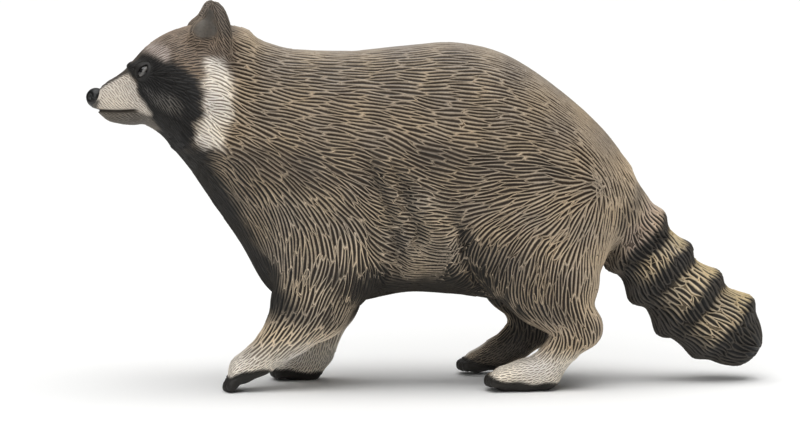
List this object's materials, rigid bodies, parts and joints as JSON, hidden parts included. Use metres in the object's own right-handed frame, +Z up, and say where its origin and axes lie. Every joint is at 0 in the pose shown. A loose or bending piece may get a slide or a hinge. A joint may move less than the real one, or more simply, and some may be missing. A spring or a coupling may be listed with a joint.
{
  "type": "toy raccoon figure",
  "caption": "Solid moulded vinyl toy figure of a walking raccoon with a ringed tail, a dark face mask and sculpted fur, standing on four small soles.",
  "frame": {"origin": "on the floor, below the middle of the figure's length and width", "axes": "+Z up, the figure faces -X, its left side is at -Y"},
  "size_m": [0.0755, 0.0216, 0.0424],
  "materials": {
    "painted_vinyl_coat": "soft vinyl, brown paint in the grooves and a tan dry-brushed coat on the ridges, matte",
    "painted_vinyl_head": "soft vinyl, hand-painted dark mask with cream brow, ruff and muzzle, matte",
    "painted_vinyl_tail": "soft vinyl, dark rings between cream bands, matte",
    "painted_vinyl_paw": "soft vinyl, cream paint above a near-black sole, matte",
    "gloss_nose_paint": "black satin paint",
    "gloss_eye_paint": "dark grey gloss paint"
  },
  "bodies": {
    "root": {"head": "painted_vinyl_head", "ear_left": "painted_vinyl_head", "ear_right": "painted_vinyl_head", "nose": "gloss_nose_paint", "eye_left": "gloss_eye_paint", "eye_right": "gloss_eye_paint", "neck": "painted_vinyl_coat", "trunk": "painted_vinyl_coat", "tail": "painted_vinyl_tail", "foreleg_left": "painted_vinyl_coat", "foreleg_right": "painted_vinyl_coat", "hindleg_left": "painted_vinyl_coat", "hindleg_right": "painted_vinyl_coat", "forepaw_left": "painted_vinyl_paw", "forepaw_right": "painted_vinyl_paw", "hindfoot_left": "painted_vinyl_paw", "hindfoot_right": "painted_vinyl_paw"}
  },
  "joints": []
}
